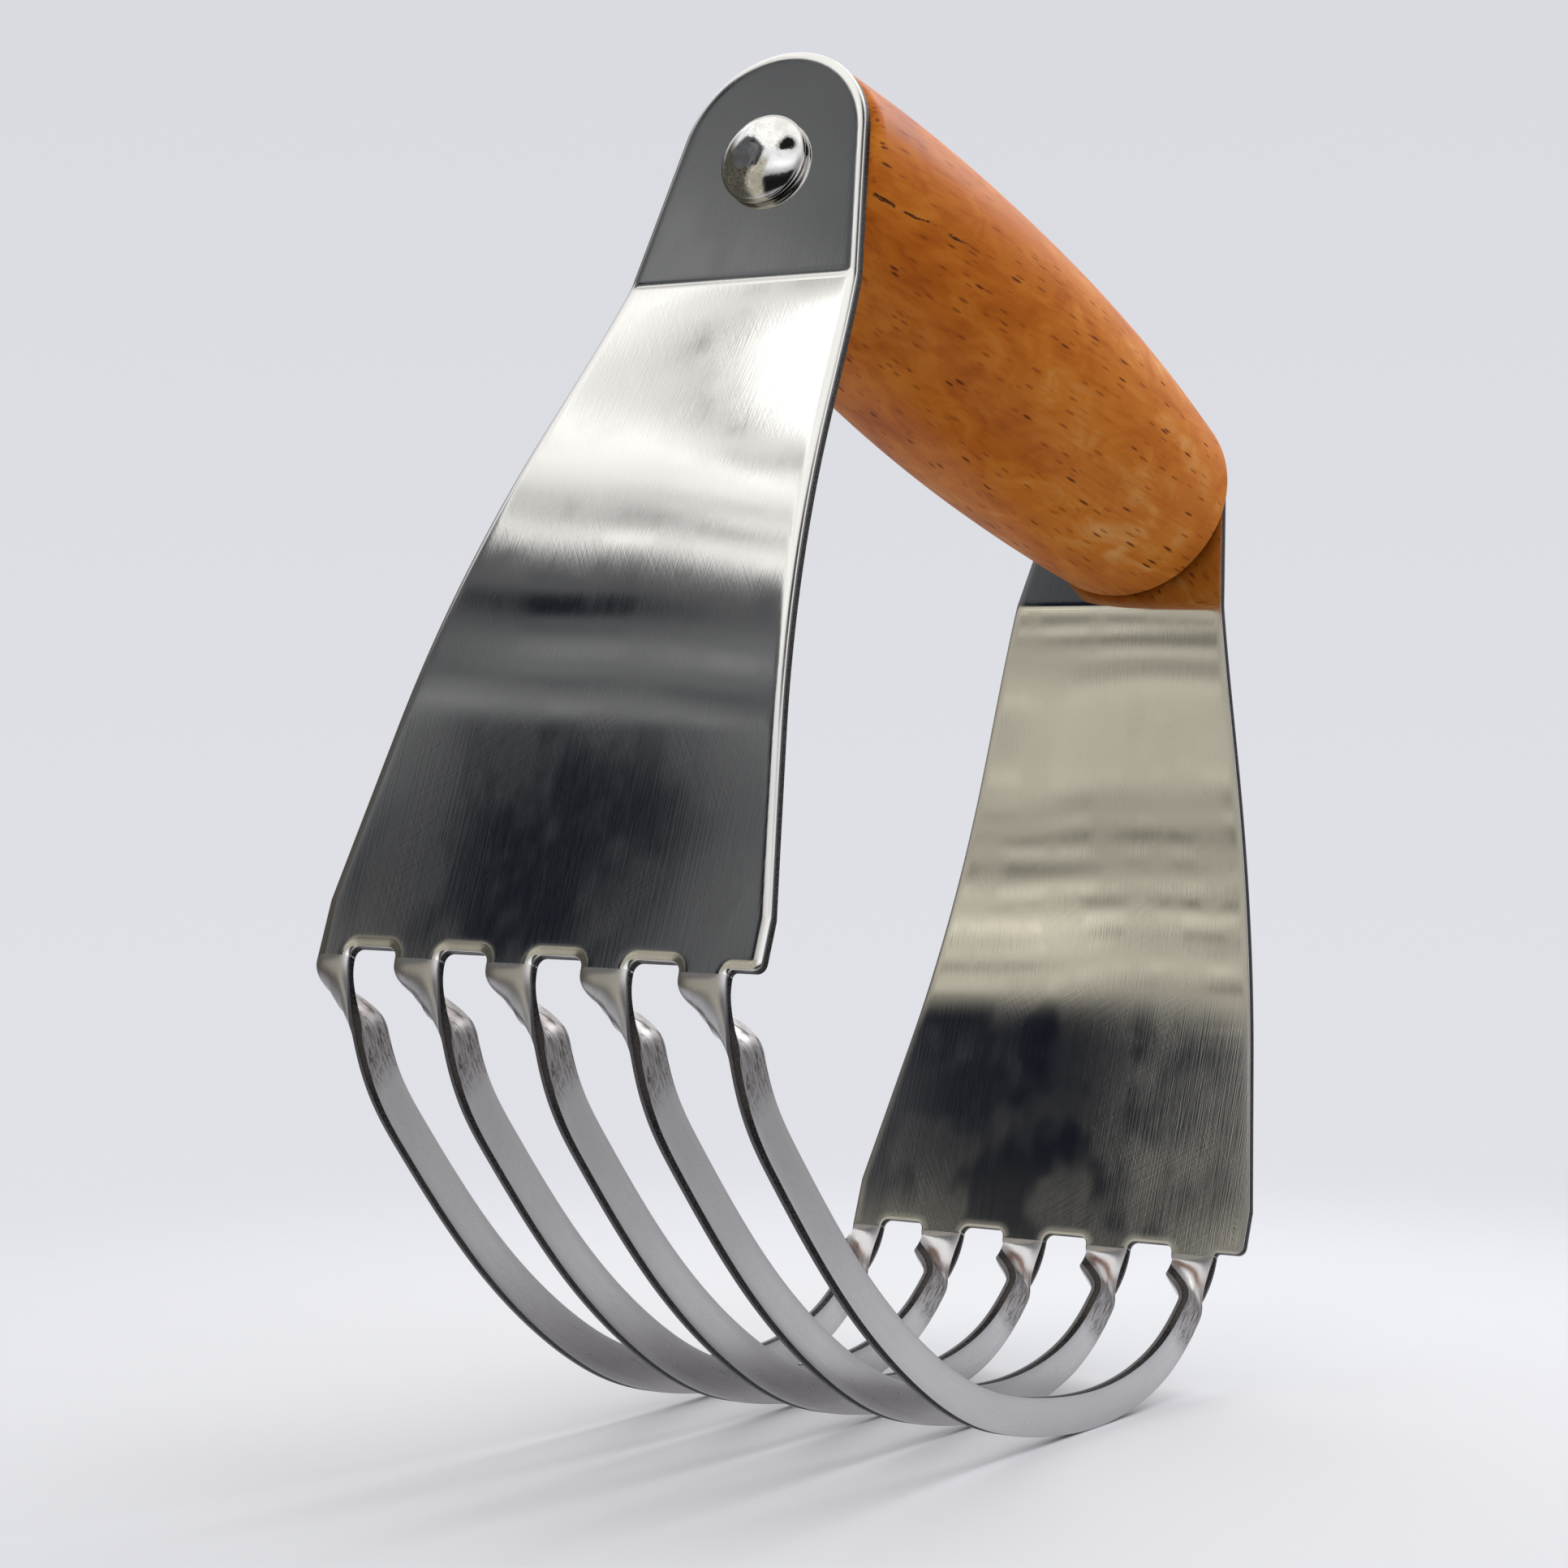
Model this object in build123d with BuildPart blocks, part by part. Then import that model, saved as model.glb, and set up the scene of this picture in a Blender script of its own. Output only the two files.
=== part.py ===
"""Pastry blender: a bent steel sheet with five twisted blades, riveted to a barrel-shaped beech handle.

Frame: millimetres, +Z up towards the handle, +X along the handle, +Y across the blades.
The origin is on the tool's centre line, level with the lowest point of the blades.
"""
from build123d import *
import math
import os

os.makedirs("parts", exist_ok=True)

# ---- driving dimensions -------------------------------------------------------------------
sheet = 1.4  # thickness of the steel
plate_width = 54.6  # the sheet's full width, just above the blades
blade_count = 5
pitch = 11.7  # from one blade to the next
tongue = 5.7  # width of the strip where it leaves the arm
first_edge = 23.2  # the -Y edge of the first strip, from the middle
slot_top = 32.1  # height at which the slots between the strips end
root_drop = 1.0  # the strips start to twist this far below the slot tops
notch_drop = 0.5  # the open notch after the last blade ends this much lower

tab_face = 47.4  # outer face of the flat tab beside the handle, from the middle
arm_face = 57.5  # outer face of the arm where it hangs straight
middle_face = 53.7  # outer face halfway down the slanted stretch
bend_height = 111.6
middle_height = 87.1
straight_height = 56.1
widest_height = 37.0
waist_half_width = 20.4  # half the arm's width at waist_height, a little less than a straight taper
waist_height = 77.1
tab_radius = 11.8
tab_centre = 127.5  # height of the tab's round top, measured at its centre
taper_angle = 8  # degrees that the arm's sides lean where they meet the round top

axle_height = 125.7  # the handle's centre line
handle_end_radius = 13.2
handle_middle_radius = 15.8
handle_edge = 1.8  # rounding of the handle's two ends

head_radius = 5.4
head_height = 3.1
head_undercut = 0.35  # the rim of the head stands this far off the tab
head_rim = 0.25  # thickness of the head's rolled rim
brow_reach = 0.78  # share of the head's radius at which the dome turns down
brow_rise = 0.66  # share of the head's height that is left there
seat_reach = 0.6  # share of the head's radius that lies on the tab
shank_radius = 2.0
shank_length = 21.0
shank_tip = 2.5  # length of the shank's taper
shank_point = 0.6  # radius of the shank's blunt end
clearance = 0.05

blade_depth = 4.3  # height of a blade, seen from the side
twist_share = 0.07  # share of a blade's length over which the strip turns on edge
twist_steps = 6

# The outer edge of a blade, from one arm to the other, as (x, z). The curve is fuller on the +X side.
blade_outline = [
    (-arm_face + sheet / 2, slot_top - root_drop),
    (-50.9, 21.1),
    (-41.6, 14.5),
    (-26.0, 6.9),
    (-8.0, 1.4),
    (5.0, 0.0),
    (21.5, 2.2),
    (37.2, 7.5),
    (45.8, 12.8),
    (52.7, 20.7),
    (arm_face - sheet / 2, slot_top - root_drop),
]

# ---- sizes that follow ----------------------------------------------------------------------
slot = pitch - tongue
handle_half = tab_face - sheet
foot_height = slot_top - root_drop
strip_edges = [first_edge - number * pitch for number in range(blade_count)]
shoulder_y = tab_radius * math.cos(math.radians(taper_angle))
shoulder_z = tab_centre + tab_radius * math.sin(math.radians(taper_angle))
cut_depth = arm_face + sheet  # far enough to pass through either arm


# ---- the two arms -----------------------------------------------------------------------------
for side, name in ((-1, "left_arm"), (1, "right_arm")):
    with BuildPart() as arm:
        # the bent sheet, seen along Y: flat tab, slanted stretch, straight skirt
        with BuildSketch(Plane.XZ):
            with BuildLine():
                faces = []
                for inset in (0, sheet):
                    top = (side * (tab_face - inset), tab_centre + tab_radius)
                    bend = (side * (tab_face - inset), bend_height)
                    middle = (side * (middle_face - inset), middle_height)
                    knee = (side * (arm_face - inset), straight_height)
                    foot = (side * (arm_face - inset), foot_height)
                    Line(top, bend)
                    Spline(bend, middle, knee, tangents=((side * 0.2, -1), (0, -1)))
                    Line(knee, foot)
                    faces.append((top, foot))
                Line(faces[0][0], faces[1][0])
                Line(faces[0][1], faces[1][1])
            make_face()
        extrude(amount=plate_width / 2, both=True)

        # the outline, seen along X: widest just above the blades, round at the top
        with BuildSketch(Plane.YZ):
            with BuildLine():
                for hand in (-1, 1):
                    Spline(
                        (hand * plate_width / 2, widest_height),
                        (hand * waist_half_width, waist_height),
                        (hand * shoulder_y, shoulder_z),
                    )
                    Line((hand * plate_width / 2, widest_height), (hand * plate_width / 2, foot_height))
                RadiusArc((-shoulder_y, shoulder_z), (shoulder_y, shoulder_z), tab_radius)
                Line((-plate_width / 2, foot_height), (plate_width / 2, foot_height))
            make_face()
        extrude(amount=cut_depth, both=True, mode=Mode.INTERSECT)

        # the slots between the strips, and the open notch after the last one
        for edge in strip_edges:
            last = edge == strip_edges[-1]
            top = slot_top - notch_drop if last else slot_top
            with BuildSketch(Plane.YZ):
                with BuildLine():
                    Polyline(
                        (edge, foot_height - slot),
                        (edge, top),
                        (edge - slot, top),
                        (edge - slot, foot_height - slot),
                        close=True,
                    )
                make_face()
                corners = vertices().group_by(Axis.Z)[-1].sort_by(Axis.Y)
                fillet(corners[-1:] if last else corners, notch_drop if last else root_drop)
            extrude(amount=cut_depth, both=True, mode=Mode.SUBTRACT)

        # the hole for the rivet
        with BuildSketch(Plane.YZ):
            with Locations((0, axle_height)):
                Circle(shank_radius + clearance)
        extrude(amount=cut_depth, both=True, mode=Mode.SUBTRACT)
    arm.part.label = name
    export_step(arm.part, f"parts/{name}.step")


# ---- the blades -------------------------------------------------------------------------------
def section_plane(path, along, turned, edge):
    """A plane across the strip: x runs over its width, turned by `turned` degrees from +Y to inwards."""
    place = path @ along
    ahead = path % along
    inwards = Vector(-ahead.Z, 0, ahead.X)
    angle = math.radians(turned)
    width_way = Vector(0, 1, 0) * math.cos(angle) + inwards * math.sin(angle)
    return Plane(origin=(place.X, edge, place.Z), x_dir=width_way, z_dir=ahead)


def eased(share):
    """A soft start and stop between 0 and 1."""
    return share * share * (3 - 2 * share)


for number, edge in enumerate(strip_edges):
    root_width = min(tongue, plate_width / 2 - edge)  # the sheet's side cuts the first strip short
    with BuildPart() as blade:
        with BuildLine() as outline:
            points = [(x, edge, z) for x, z in blade_outline]
            Spline(*points, tangents=((0, 0, -1), (0, 0, 1)), tangent_scalars=(0.5, 0.5))
        path = outline.edge()

        # each end: the strip leaves the arm flat and turns on edge while it narrows
        for arm_end, into_blade in ((0, 1), (1, -1)):
            for step in range(twist_steps + 1):
                share = step / twist_steps
                along = arm_end + into_blade * twist_share * share
                width = root_width + (blade_depth - root_width) * eased(share)
                with BuildSketch(section_plane(path, along, 90 * eased(share), edge)):
                    Rectangle(width, sheet, align=(Align.MIN, Align.CENTER))
            loft()

        # the rest of the strip runs on edge around the curve
        with BuildLine() as course:
            add(path.trim(twist_share, 1 - twist_share))
        with BuildSketch(section_plane(path, twist_share, 90, edge)):
            Rectangle(blade_depth, sheet, align=(Align.MIN, Align.CENTER))
        sweep(path=course.edge())
    name = f"blade_{number + 1}"
    blade.part.label = name
    export_step(blade.part, f"parts/{name}.step")


# ---- the handle ---------------------------------------------------------------------------------
with BuildPart() as handle:
    with BuildSketch(Plane.XZ):
        with BuildLine():
            ThreePointArc(
                (-handle_half, axle_height + handle_end_radius),
                (0, axle_height + handle_middle_radius),
                (handle_half, axle_height + handle_end_radius),
            )
            Polyline(
                (-handle_half, axle_height + handle_end_radius),
                (-handle_half, axle_height),
                (handle_half, axle_height),
                (handle_half, axle_height + handle_end_radius),
            )
        make_face()
    revolve(axis=Axis((0, 0, axle_height), (1, 0, 0)))
    rings = edges().filter_by(GeomType.CIRCLE)
    ends = rings.filter_by(lambda ring: abs(ring.radius - handle_end_radius) < clearance)
    fillet(ends, handle_edge)
    for side in (-1, 1):
        with BuildSketch(Plane.YZ.offset(side * handle_half)):
            with Locations((0, axle_height)):
                Circle(shank_radius + clearance)
        extrude(amount=-side * (shank_length - sheet + clearance), mode=Mode.SUBTRACT)
handle.part.label = "handle"
export_step(handle.part, "parts/handle.step")


# ---- the two rivets -------------------------------------------------------------------------------
for side, name in ((-1, "left_rivet"), (1, "right_rivet")):
    with BuildPart() as rivet:
        with BuildSketch(Plane.XZ):
            with BuildLine():
                crown = (side * (tab_face + head_height), axle_height)
                brow = (side * (tab_face + brow_rise * head_height), axle_height + brow_reach * head_radius)
                rim = (side * (tab_face + head_undercut), axle_height + head_radius - head_rim)
                seat = (side * tab_face, axle_height + seat_reach * head_radius)
                neck = (side * tab_face, axle_height + shank_radius)
                waist = (side * (tab_face - shank_length + shank_tip), axle_height + shank_radius)
                tip = (side * (tab_face - shank_length), axle_height + shank_point)
                Spline(crown, brow, rim, tangents=((0, 1), (-side * 0.9, -0.5)))
                Polyline(rim, seat, neck, waist, tip, (side * (tab_face - shank_length), axle_height), crown)
            make_face()
        revolve(axis=Axis((0, 0, axle_height), (1, 0, 0)))
    rivet.part.label = name
    export_step(rivet.part, f"parts/{name}.step")
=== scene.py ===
# %% [markdown]
# # A pastry blender, piece by piece
# One stamped and bent steel sheet makes both arms and the five blades, and two dome rivets
# pin its tabs to the ends of a turned beech handle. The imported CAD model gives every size
# and place. This lesson rebuilds each visible piece as a surface worked out with numpy,
# finishes it with a procedural material, and then sets it on a pale table in soft light.

# %% Load the frame that fixes every place
import math

import bmesh
import bpy
import numpy as np
from mathutils import Matrix, Vector


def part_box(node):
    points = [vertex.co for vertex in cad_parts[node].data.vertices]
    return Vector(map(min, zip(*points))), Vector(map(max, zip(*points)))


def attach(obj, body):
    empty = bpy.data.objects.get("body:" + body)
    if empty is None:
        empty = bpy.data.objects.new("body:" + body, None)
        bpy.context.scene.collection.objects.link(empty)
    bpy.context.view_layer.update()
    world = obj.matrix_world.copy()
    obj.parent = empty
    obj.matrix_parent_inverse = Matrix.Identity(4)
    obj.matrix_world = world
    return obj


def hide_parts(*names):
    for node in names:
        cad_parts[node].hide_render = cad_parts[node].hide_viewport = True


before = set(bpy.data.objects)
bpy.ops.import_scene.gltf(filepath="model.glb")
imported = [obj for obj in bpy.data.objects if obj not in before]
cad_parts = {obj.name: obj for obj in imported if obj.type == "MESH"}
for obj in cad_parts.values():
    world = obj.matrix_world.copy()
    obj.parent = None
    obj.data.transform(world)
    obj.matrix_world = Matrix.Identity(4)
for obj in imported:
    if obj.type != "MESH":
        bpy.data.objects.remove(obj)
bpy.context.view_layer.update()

MM = 0.001

# %% [markdown]
# ## Sizes
# The real sheet is 1.4 mm stainless steel, cut by a punch. The sizes below are the CAD part's
# own, in millimetres. Where a corner of a CAD box gives a size directly it is read from there,
# so the visible sheet can't drift away from the solid one.

# %% Read what the CAD boxes give, and note the rest
arm_low, arm_high = (np.array(corner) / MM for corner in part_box("right_arm"))
handle_low, handle_high = (np.array(corner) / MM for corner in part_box("handle"))
ARM_FACE, FOOT, ARM_TOP, HALF_WIDTH = arm_high[0], arm_low[2], arm_high[2], arm_high[1]
AXLE = (handle_low[2] + handle_high[2]) / 2
HANDLE_HALF = handle_high[0]
HANDLE_MIDDLE = (handle_high[2] - handle_low[2]) / 2
SHEET = 1.4
TAB_FACE, MIDDLE_FACE = HANDLE_HALF + SHEET, 53.7
BEND, MIDDLE, KNEE = 111.6, 87.1, 56.1
WIDEST, WAIST, WAIST_HALF = 37.0, 77.1, 20.4
TAB_RADIUS, TAB_CENTRE, TAPER = 11.8, ARM_TOP - 11.8, math.radians(8)
PITCH, SLOT, FIRST_EDGE, BLADES = 11.7, 6.0, 23.2, 5
SLOT_TOP, SLOT_ROUND, NOTCH_TOP, NOTCH_ROUND = FOOT + 1.0, 1.0, FOOT + 0.5, 0.5
TONGUE, BLADE_DEPTH = 5.7, 4.3
HANDLE_END, HANDLE_EDGE = 13.2, 1.8
HEAD_RADIUS, HEAD_HEIGHT, HEAD_UNDERCUT, HEAD_RIM = 5.4, 3.1, 0.35, 0.25
SHANK, SHANK_LENGTH, SHANK_TIP, SHANK_POINT, BORE = 2.0, 21.0, 2.5, 0.6, 2.05
print("arm face", ARM_FACE, "foot", FOOT, "top", ARM_TOP, "axle", AXLE, "handle", HANDLE_MIDDLE)

# %% [markdown]
# ## Curves through a few points
# A bent sheet takes the smoothest line through the places that hold it. A cubic spline does
# the same: its slope and its bending both carry on through every point. The slopes come from
# one small set of linear equations, which numpy solves at once.

# %% A cubic spline through points, with its end slopes given
def spline(points, start, end, where):
    """Cubic curve through points, its parameter the chord length so far; start and end are its
    derivatives there. Between two points it is the Hermite blend of places and slopes."""
    points = np.asarray(points, float)
    chord = np.linalg.norm(np.diff(points, axis=0), axis=1)
    knots = np.concatenate([[0], np.cumsum(chord)])
    count = len(points)
    system, right = np.eye(count), np.zeros_like(points)
    right[0], right[-1] = start, end
    inner = np.arange(1, count - 1)
    before, after = chord[:-1], chord[1:]
    system[inner, inner - 1] = after
    system[inner, inner] = 2 * (before + after)
    system[inner, inner + 1] = before
    step = np.diff(points, axis=0) / chord[:, None]
    right[1:-1] = 3 * (after[:, None] * step[:-1] + before[:, None] * step[1:])
    slope = np.linalg.solve(system, right)
    u = np.asarray(where, float) * knots[-1]
    k = np.clip(np.searchsorted(knots, u, side="right") - 1, 0, count - 2)
    h = chord[k][:, None]
    t = ((u - knots[k]) / chord[k])[:, None]
    place = ((2 * t**3 - 3 * t**2 + 1) * points[k] + (t**3 - 2 * t**2 + t) * h * slope[k]
             + (3 * t**2 - 2 * t**3) * points[k + 1] + (t**3 - t**2) * h * slope[k + 1])
    ahead = ((6 * t**2 - 6 * t) * (points[k] - points[k + 1]) / h
             + (3 * t**2 - 4 * t + 1) * slope[k] + (3 * t**2 - 2 * t) * slope[k + 1])
    return place, ahead / np.linalg.norm(ahead, axis=1, keepdims=True)


def eased(share):
    """A soft start and stop between 0 and 1: 3 s^2 - 2 s^3."""
    share = np.clip(share, 0, 1)
    return share * share * (3 - 2 * share)


bend_line, _ = spline([(TAB_FACE, BEND), (MIDDLE_FACE, MIDDLE), (ARM_FACE, KNEE)],
                      (0.196, -0.98), (0, -1), np.linspace(0, 1, 400))


def face_at(height):
    """Outer face of the arm, in x, at a height: flat tab, slanted stretch, straight skirt."""
    return np.where(height >= BEND, TAB_FACE,
                    np.interp(height, bend_line[::-1, 1], bend_line[::-1, 0]))


print("face at 100, 70 mm:", face_at(np.array([100.0, 70.0])).round(2))

# %% [markdown]
# ## The edge of a punched sheet
# A punch leaves three zones on the cut. The side that it entered from is pulled round, then
# comes a burnished band, and below it the metal tears and stays rough. The outer face of this
# tool is the rounded side, which is why every outline carries a bright lip. One profile holds
# all of that, as a distance in from the outline and a depth through the sheet, and it is
# carried along every cut edge of the arms and the blades.

# %% The profile of the cut edge, from the inner face round to the outer face
LIP_IN, LIP_DOWN, BURR, BAND = 1.35, 0.42, 0.05, 1.85
swing = np.linspace(np.pi / 2, 0, 13)
corner_turn = np.linspace(0, np.pi / 2, 4)


def cut_edge(size=1.0):
    """Distance in and depth down of the profile. The lip is depth = down (1 - cos a) at distance
    in (1 - sin a ^ 2/3), which leaves the face without a kink and meets the wall square."""
    size = np.asarray(size, float)[..., None]
    same = np.ones_like(size)
    inner = np.concatenate([[BAND, 1.0, 0.4], BURR * (1 - np.sin(corner_turn)), np.zeros(5)])
    wall = np.linspace(0, 1, 7)[1:-1]
    down = LIP_DOWN * size
    lip = LIP_IN * size * (1 - np.sin(swing) ** (2 / 3))
    into = np.concatenate([inner * same, lip, BAND * same], -1)
    burr_edge = (SHEET - BURR * (1 - np.cos(corner_turn))) * same
    flat_cut = (SHEET - BURR) * (1 - wall) + down * wall
    deep = np.concatenate([SHEET * np.ones(3) * same, burr_edge, flat_cut, down * (1 - np.cos(swing)),
                           0 * same], -1)
    return into, deep


EDGE_IN, EDGE_DEEP = cut_edge()
CUT = np.where(EDGE_IN < 0.02, 1.0, 0.0)
LIP = 1 - np.clip(EDGE_IN / BAND, 0, 1)
print("edge profile points", len(EDGE_IN))

# %% [markdown]
# ## Sewing surfaces into a mesh
# Each piece is a few grids of points that share borders. The grids are put into one mesh,
# borders are merged, and the faces are turned outwards. Marks such as how deep in the cut a
# point lies travel with the points as attributes, for the materials to read.

# %% Grids of quads, and the function that sews them
def quads(rows, columns, round_rows=False, round_columns=False, first=0):
    """Corner numbers of every cell in a grid of rows by columns, as one array."""
    r = np.arange(rows if round_rows else rows - 1)
    c = np.arange(columns if round_columns else columns - 1)
    r, c = (a.ravel() for a in np.meshgrid(r, c, indexing="ij"))
    r2, c2 = (r + 1) % rows, (c + 1) % columns
    return first + np.stack([r * columns + c, r * columns + c2, r2 * columns + c2, r2 * columns + c], 1)


def sew(name, patches, caps=(), marks=(), crease=40):
    """One closed mesh from patches, each (points, marks, rounds), and flat caps of border points."""
    points, faces, values, total = [], [], {mark: [] for mark in marks}, 0
    for grid, given, rounds in patches:
        rows, columns = grid.shape[:2]
        points.append(grid.reshape(-1, 3))
        faces += quads(rows, columns, *rounds, first=total).tolist()
        for mark in marks:
            values[mark].append(np.broadcast_to(given.get(mark, 0.0), (rows, columns)).ravel())
        total += rows * columns
    for loop, given in caps:
        points.append(loop)
        faces.append(list(range(total, total + len(loop))))
        for mark in marks:
            values[mark].append(np.broadcast_to(given.get(mark, 0.0), len(loop)))
        total += len(loop)
    mesh = bpy.data.meshes.new(name)
    mesh.from_pydata(np.concatenate(points) * MM, [], faces)
    for mark in marks:
        layer = mesh.attributes.new(mark, "FLOAT", "POINT")
        layer.data.foreach_set("value", np.concatenate(values[mark]).astype(np.float32))
    shell = bmesh.new()
    shell.from_mesh(mesh)
    bmesh.ops.remove_doubles(shell, verts=shell.verts, dist=0.002 * MM)
    bmesh.ops.dissolve_degenerate(shell, edges=shell.edges, dist=0.0005 * MM)
    bmesh.ops.recalc_face_normals(shell, faces=shell.faces)
    open_edges = sum(not edge.is_manifold for edge in shell.edges)
    inside_out = shell.calc_volume(signed=True) < 0
    if inside_out:
        bmesh.ops.reverse_faces(shell, faces=shell.faces)
    volume = abs(shell.calc_volume())
    shell.to_mesh(mesh)
    shell.free()
    mesh.shade_smooth()
    mesh.set_sharp_from_angle(angle=math.radians(crease))
    piece = bpy.data.objects.new(name, mesh)
    bpy.context.scene.collection.objects.link(piece)
    triangles = sum(len(face.vertices) - 2 for face in mesh.polygons)
    print(f"{name}: {triangles} triangles, {volume / MM**3:.0f} mm3, {open_edges} open edges")
    return piece


def stand_in(piece, node, finish):
    """The piece rides on the body in place of its CAD node, in its finish."""
    piece.data.materials.append(finish)
    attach(piece, "root")
    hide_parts(node)
    return piece


# %% [markdown]
# ## The outline of an arm
# Seen from its side, an arm is a round-topped tab that widens to a skirt, with four slots
# and an open notch cut into its lower edge. Every outline here runs with the metal on its
# left, so turning its direction a quarter to the left gives the way into the metal.

# %% Outline curves, each with its inward direction
def inwards_of(path):
    """Unit vectors a quarter turn left of the path's own direction."""
    ahead = np.gradient(path, axis=0)
    ahead /= np.linalg.norm(ahead, axis=1, keepdims=True)
    return np.stack([-ahead[:, 1], ahead[:, 0]], 1)


def arc(centre, radius, start, end, count):
    """Points and inward directions on a circle; the metal is inside it when the turn is positive."""
    angle = np.radians(np.linspace(start, end, count))
    way = np.stack([np.cos(angle), np.sin(angle)], 1)
    return np.array(centre) + radius * way, -way if end > start else way


def side_line(count_low, count_high):
    """The +Y side from the foot to the round top: straight, then a parabola through the waist."""
    shoulder = np.array([TAB_RADIUS * math.cos(TAPER), TAB_CENTRE + TAB_RADIUS * math.sin(TAPER)])
    hip, waist = np.array([HALF_WIDTH, WIDEST]), np.array([WAIST_HALF, WAIST])
    low = np.linalg.norm(waist - hip)
    split = low / (low + np.linalg.norm(shoulder - waist))
    t = np.linspace(0, 1, count_high)[:, None]
    curve = (hip * (t - split) * (t - 1) / split + waist * t * (t - 1) / (split * (split - 1))
             + shoulder * t * (t - split) / (1 - split))
    foot = np.stack([np.full(count_low, HALF_WIDTH), np.linspace(FOOT, WIDEST, count_low)], 1)
    return foot[:-1], curve


foot_line, flank = side_line(14, 150)
top_arc, top_in = arc((0, TAB_CENTRE), TAB_RADIUS, math.degrees(TAPER), 180 - math.degrees(TAPER), 61)
flank_in = inwards_of(flank)
flank_in[0] = -1.0, 0.0
mirror = np.array([-1.0, 1.0])

CORNER = 1.0
NEAR, SAME = 0.01, 1e-6  # a point this near to an end is left out; two heights this near are one
notch_end = FIRST_EDGE - (BLADES - 1) * PITCH


def line(start, end, count):
    """Evenly spaced points from start to end."""
    return np.linspace(start, end, count)


corner, _ = arc((-HALF_WIDTH + CORNER, NOTCH_TOP + CORNER), CORNER, 180, 270, 10)
corner_inner, _ = arc((-HALF_WIDTH + BAND + 0.05, NOTCH_TOP + BAND + 0.05), 0.05, 180, 270, 10)
notch_arc, notch_in = arc((notch_end - NOTCH_ROUND, FOOT), NOTCH_ROUND, 90, 0, 9)
right_foot = line((-HALF_WIDTH, WIDEST), corner[0], 14)[1:-1]
right_foot_inner = line((-HALF_WIDTH + BAND, WIDEST), corner_inner[0], 14)[1:-1]
notch_run, notch_run_inner = (line(start, end, 6)[1:-1] for start, end in
                              ((corner[-1], notch_arc[0]), (corner_inner[-1], notch_arc[0] + (0, BAND))))
outline = np.concatenate([foot_line, flank, top_arc[1:-1], (flank * mirror)[::-1], right_foot,
                          corner, notch_run, notch_arc])
flank_inner, top_inner = flank + flank_in * BAND, top_arc[1:-1] + top_in[1:-1] * BAND
inner_line = np.concatenate([foot_line - (BAND, 0), flank_inner, top_inner, (flank_inner * mirror)[::-1],
                             right_foot_inner, corner_inner, notch_run_inner, notch_arc + notch_in * BAND])
side_count = len(foot_line) + len(flank)
print("outline points", len(outline), "height", outline[:, 1].max().round(2))


def slot_arch(edge):
    """The edge of one slot: up a rounded corner, along its top, and down the other corner."""
    up, up_in = arc((edge - SLOT + SLOT_ROUND, FOOT), SLOT_ROUND, 180, 90, 12)
    down, down_in = arc((edge - SLOT_ROUND, FOOT), SLOT_ROUND, 90, 0, 12)
    run = np.stack([np.linspace(edge - SLOT + SLOT_ROUND, edge - SLOT_ROUND, 8)[1:-1],
                    np.full(6, SLOT_TOP)], 1)
    path = np.concatenate([up, run, down])
    return path, path + BAND * np.concatenate([up_in, np.tile([0.0, 1.0], (6, 1)), down_in])


edges = FIRST_EDGE - PITCH * np.arange(BLADES)
arches = [slot_arch(edge) for edge in edges[:-1]]

# %% [markdown]
# ## The faces of an arm
# Between the lips the sheet is one smooth face. Its lowest row of points follows the slots,
# and a few rows higher up that row has relaxed into a straight line, which then only gets
# narrower. Around the rivet hole the grid fans out from the hole to the edge of the tab.

# %% Rows of points over the face, and a fan around the rivet hole
top_index = side_count + len(top_arc) // 2 - 1
left_side = inner_line[:top_index + 1]
right_side = inner_line[top_index:2 * top_index + 1][::-1]
print("sides", len(left_side), len(right_side), left_side[-1].round(3), right_side[0].round(3))

base = [inner_line[2 * top_index:]]
for number in range(BLADES - 1, -1, -1):
    if number == 0:
        base.append(np.stack([np.linspace(base[-1][-1, 0], left_side[0, 0], 6)[1:],
                              np.full(5, FOOT)], 1))
    else:
        rim = arches[number - 1][1]
        base.append(np.stack([np.linspace(base[-1][-1, 0], rim[0, 0], 6)[1:-1], np.full(4, FOOT)], 1))
        base.append(rim)
base = np.concatenate(base)
across = ((base[:, 0] - base[0, 0]) / (base[-1, 0] - base[0, 0]))[None, :, None]
left_side, right_side = left_side[:, None, :], right_side[:, None, :]
rows = right_side + (left_side - right_side) * across
RELAX_OVER, TAB_START, FAN_POWER = 7.0, BEND + 0.8, 1.3
relax = 1 - eased((left_side[:, :, 1:] - FOOT) / RELAX_OVER)
rows = rows + relax * (base[None] - rows[:1])
tab_row = int(np.searchsorted(left_side[:, 0, 1], TAB_START))
skirt = rows[:tab_row + 1]
border = np.concatenate([rows[tab_row], left_side[tab_row + 1:, 0], right_side[tab_row + 1:-1, 0][::-1]])
around = np.arctan2(border[:, 1] - AXLE, border[:, 0])
hole = np.stack([BORE * np.cos(around), AXLE + BORE * np.sin(around)], 1)
reach = np.linspace(0, 1, 12)[:, None, None] ** FAN_POWER
fan = hole + (border - hole) * reach
print("skirt grid", skirt.shape, "fan", fan.shape)

# %% [markdown]
# ## Bending the sheet
# A flat pattern becomes an arm when each point goes out to the bend line at its height, and
# its depth through the sheet goes inwards from there. A real pressing is never quite flat, so
# a few long, shallow waves a hundredth of a millimetre high are added. The eye can't see
# them, but they bend the reflections as real sheet does.

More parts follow.
